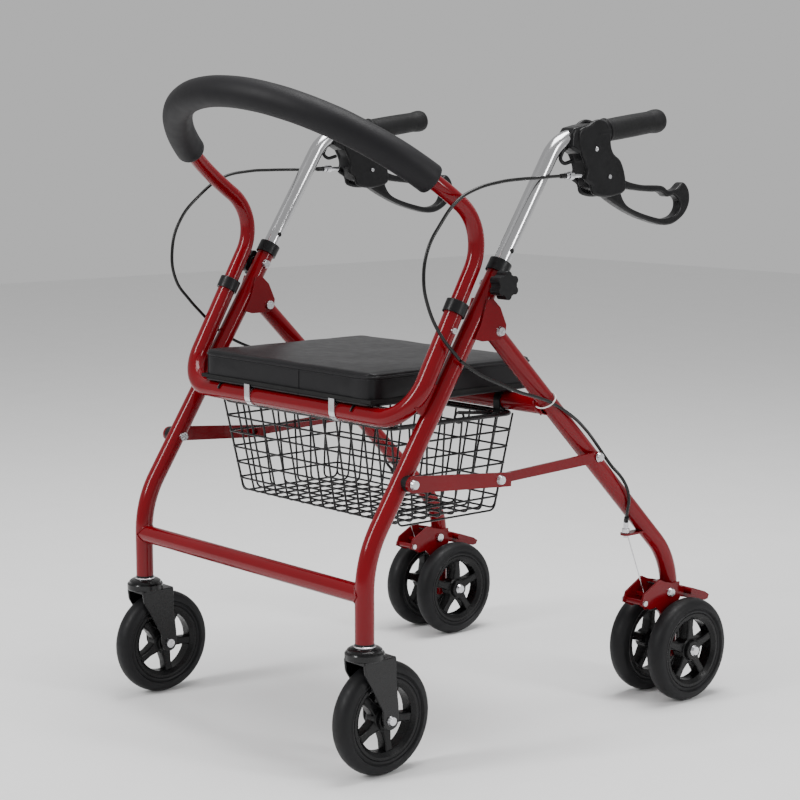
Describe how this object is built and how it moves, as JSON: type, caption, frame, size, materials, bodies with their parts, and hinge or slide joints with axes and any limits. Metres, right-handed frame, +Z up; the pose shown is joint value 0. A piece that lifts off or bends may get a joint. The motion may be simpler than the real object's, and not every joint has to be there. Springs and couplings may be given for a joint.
{
  "type": "folding rollator walker",
  "caption": "Folding four-leg walker with a flip-up padded seat, wire basket under it, padded backrest bar, swivel front casters, twin rear wheels and hand loop brakes.",
  "frame": {"origin": "on the floor under the middle of the object's box", "axes": "+X towards the user's left, -Y towards the front, +Z up"},
  "size_m": [0.6198, 0.7214, 0.904],
  "materials": {
    "paint_red": "red enamel on steel tube, gloss",
    "paint_dark": "red enamel on pressed brackets",
    "chrome": "polished chrome plate",
    "zinc": "bright zinc plate",
    "black_plastic": "moulded black nylon",
    "black_steel": "black powder coat",
    "foam": "closed-cell foam skin",
    "grip_foam": "moulded soft grip",
    "tyre": "solid black tyre",
    "hub_plastic": "moulded black hub",
    "cable": "black cable housing",
    "vinyl": "black upholstery vinyl",
    "board": "black seat board",
    "wire_black": "black dipped wire"
  },
  "bodies": {
    "frame": {"front_legs": "paint_red", "lower_crossbar": "paint_red", "seat_u_tube": "paint_red", "frame_brackets": "paint_dark", "tube_collars": "black_plastic", "stem_bushings": "black_plastic", "frame_bolts": "zinc", "link_spacers": "black_plastic", "backrest_tube": "paint_red", "backrest_foam": "foam", "upper_cables": "cable"},
    "rear_frame": {"rear_legs": "paint_red", "rear_crossbar": "paint_red", "rear_brackets": "paint_dark", "rear_fasteners": "zinc", "leg_plugs": "black_plastic", "basket_straps": "black_plastic", "brake_springs": "black_steel", "lower_cables": "cable"},
    "seat": {"seat_cushion": "vinyl", "seat_board": "board", "seat_clips": "zinc"},
    "basket": {"basket": "wire_black", "basket_rim": "wire_black"},
    "snap_button_left": {"snap_button_left": "zinc"},
    "caster_left": {"caster_fork_left": "black_steel", "caster_hardware_left": "black_steel"},
    "caster_wheel_left": {"caster_tyre_left": "tyre", "caster_hub_left": "hub_plastic"},
    "rear_wheel_left_outer": {"rear_tyre_left_outer": "tyre", "rear_hub_left_outer": "hub_plastic"},
    "rear_wheel_left_inner": {"rear_tyre_left_inner": "tyre", "rear_hub_left_inner": "hub_plastic"},
    "brake_arm_left": {"brake_arm_left": "paint_dark"},
    "handle_left": {"handle_tube_left": "chrome", "grip_left": "grip_foam", "brake_housing_left": "black_plastic", "lever_hardware_left": "zinc"},
    "brake_lever_left": {"brake_lever_left": "black_plastic"},
    "knob_left": {"knob_left": "black_plastic"},
    "front_link_left": {"front_link_left": "paint_dark"},
    "rear_link_left": {"rear_link_left": "paint_dark"},
    "snap_button_right": {"snap_button_right": "zinc"},
    "caster_right": {"caster_fork_right": "black_steel", "caster_hardware_right": "black_steel"},
    "caster_wheel_right": {"caster_tyre_right": "tyre", "caster_hub_right": "hub_plastic"},
    "rear_wheel_right_outer": {"rear_tyre_right_outer": "tyre", "rear_hub_right_outer": "hub_plastic"},
    "rear_wheel_right_inner": {"rear_tyre_right_inner": "tyre", "rear_hub_right_inner": "hub_plastic"},
    "brake_arm_right": {"brake_arm_right": "paint_dark"},
    "handle_right": {"handle_tube_right": "chrome", "grip_right": "grip_foam", "brake_housing_right": "black_plastic", "lever_hardware_right": "zinc"},
    "brake_lever_right": {"brake_lever_right": "black_plastic"},
    "knob_right": {"knob_right": "black_plastic"},
    "front_link_right": {"front_link_right": "paint_dark"},
    "rear_link_right": {"rear_link_right": "paint_dark"}
  },
  "joints": [
    {"name": "frame_fold", "type": "hinge", "parent": "frame", "child": "rear_frame", "pos_m": [0, -0.07781, 0.568], "axis": [-1, 0, 0], "range_deg": [0, 42], "deforming": ["lower_cables"]},
    {"name": "seat_flip", "type": "hinge", "parent": "frame", "child": "seat", "pos_m": [0, -0.22331, 0.4585], "axis": [1, 0, 0], "range_deg": [0, 85]},
    {"name": "basket_swing", "type": "hinge", "parent": "frame", "child": "basket", "pos_m": [0, -0.22331, 0.4585], "axis": [-1, 0, 0], "range_deg": [0, 50]},
    {"name": "snap_button_press_left", "type": "slide", "parent": "frame", "child": "snap_button_left", "axis": [-1, 0, 0], "range_m": [0, 0.0035], "stiffness_N_per_m": 1500},
    {"name": "caster_swivel_left", "type": "hinge", "parent": "frame", "child": "caster_left", "pos_m": [0.2535, -0.29981, 0.17], "axis": [0, 0, 1], "continuous": true},
    {"name": "caster_roll_left", "type": "hinge", "parent": "caster_left", "child": "caster_wheel_left", "pos_m": [0.2535, -0.27281, 0.076], "axis": [1, 0, 0], "continuous": true},
    {"name": "rear_roll_left_outer", "type": "hinge", "parent": "rear_frame", "child": "rear_wheel_left_outer", "pos_m": [0.2906, 0.28469, 0.076], "axis": [1, 0, 0], "continuous": true},
    {"name": "rear_roll_left_inner", "type": "hinge", "parent": "rear_frame", "child": "rear_wheel_left_inner", "pos_m": [0.2164, 0.28469, 0.076], "axis": [1, 0, 0], "continuous": true},
    {"name": "handle_height_left", "type": "slide", "parent": "frame", "child": "handle_left", "axis": [0, 0.5402, 0.8415], "range_m": [-0.025, 0.1], "deforming": ["upper_cables"]},
    {"name": "knob_turn_left", "type": "hinge", "parent": "frame", "child": "knob_left", "pos_m": [0.2535, -0.08063, 0.63], "axis": [1, 0, 0], "continuous": true},
    {"name": "brake_squeeze_left", "type": "hinge", "parent": "handle_left", "child": "brake_lever_left", "pos_m": [0.2535, 0.12819, 0.768], "axis": [1, 0, 0], "range_deg": [0, 14], "stiffness_Nm_per_rad": 6, "springref_deg": -5.73},
    {"name": "brake_arm_turn_left", "type": "hinge", "parent": "rear_frame", "child": "brake_arm_left", "pos_m": [0.2535, 0.26819, 0.16], "axis": [-1, 0, 0], "range_deg": [0, 4.8]},
    {"name": "front_link_turn_left", "type": "hinge", "parent": "frame", "child": "front_link_left", "pos_m": [0.2535, -0.23681, 0.382], "axis": [1, 0, 0], "range_deg": [0, 47]},
    {"name": "rear_link_turn_left", "type": "hinge", "parent": "rear_frame", "child": "rear_link_left", "pos_m": [0.2535, 0.11159, 0.3786], "axis": [-1, 0, 0], "range_deg": [0, 33]},
    {"name": "snap_button_press_right", "type": "slide", "parent": "frame", "child": "snap_button_right", "axis": [1, 0, 0], "range_m": [0, 0.0035], "stiffness_N_per_m": 1500},
    {"name": "caster_swivel_right", "type": "hinge", "parent": "frame", "child": "caster_right", "pos_m": [-0.2535, -0.29981, 0.17], "axis": [0, 0, 1], "continuous": true},
    {"name": "caster_roll_right", "type": "hinge", "parent": "caster_right", "child": "caster_wheel_right", "pos_m": [-0.2535, -0.27281, 0.076], "axis": [1, 0, 0], "continuous": true},
    {"name": "rear_roll_right_outer", "type": "hinge", "parent": "rear_frame", "child": "rear_wheel_right_outer", "pos_m": [-0.2906, 0.28469, 0.076], "axis": [1, 0, 0], "continuous": true},
    {"name": "rear_roll_right_inner", "type": "hinge", "parent": "rear_frame", "child": "rear_wheel_right_inner", "pos_m": [-0.2164, 0.28469, 0.076], "axis": [1, 0, 0], "continuous": true},
    {"name": "handle_height_right", "type": "slide", "parent": "frame", "child": "handle_right", "axis": [0, 0.5402, 0.8415], "range_m": [-0.025, 0.1], "deforming": ["upper_cables"]},
    {"name": "knob_turn_right", "type": "hinge", "parent": "frame", "child": "knob_right", "pos_m": [-0.2535, -0.08063, 0.63], "axis": [1, 0, 0], "continuous": true},
    {"name": "brake_squeeze_right", "type": "hinge", "parent": "handle_right", "child": "brake_lever_right", "pos_m": [-0.2535, 0.12819, 0.768], "axis": [1, 0, 0], "range_deg": [0, 14], "stiffness_Nm_per_rad": 6, "springref_deg": -5.73},
    {"name": "brake_arm_turn_right", "type": "hinge", "parent": "rear_frame", "child": "brake_arm_right", "pos_m": [-0.2535, 0.26819, 0.16], "axis": [-1, 0, 0], "range_deg": [0, 4.8]},
    {"name": "front_link_turn_right", "type": "hinge", "parent": "frame", "child": "front_link_right", "pos_m": [-0.2535, -0.23681, 0.382], "axis": [1, 0, 0], "range_deg": [0, 47]},
    {"name": "rear_link_turn_right", "type": "hinge", "parent": "rear_frame", "child": "rear_link_right", "pos_m": [-0.2535, 0.11159, 0.3786], "axis": [-1, 0, 0], "range_deg": [0, 33]}
  ],
  "couplings": [
    {"joint": "basket_swing", "follows": "frame_fold", "ratio": 1.19},
    {"joint": "brake_arm_turn_left", "follows": "brake_squeeze_left", "ratio": 0.34},
    {"joint": "front_link_turn_left", "follows": "frame_fold", "ratio": 1.1143},
    {"joint": "rear_link_turn_left", "follows": "frame_fold", "ratio": 0.7833},
    {"joint": "brake_arm_turn_right", "follows": "brake_squeeze_right", "ratio": 0.34},
    {"joint": "front_link_turn_right", "follows": "frame_fold", "ratio": 1.1143},
    {"joint": "rear_link_turn_right", "follows": "frame_fold", "ratio": 0.7833}
  ]
}
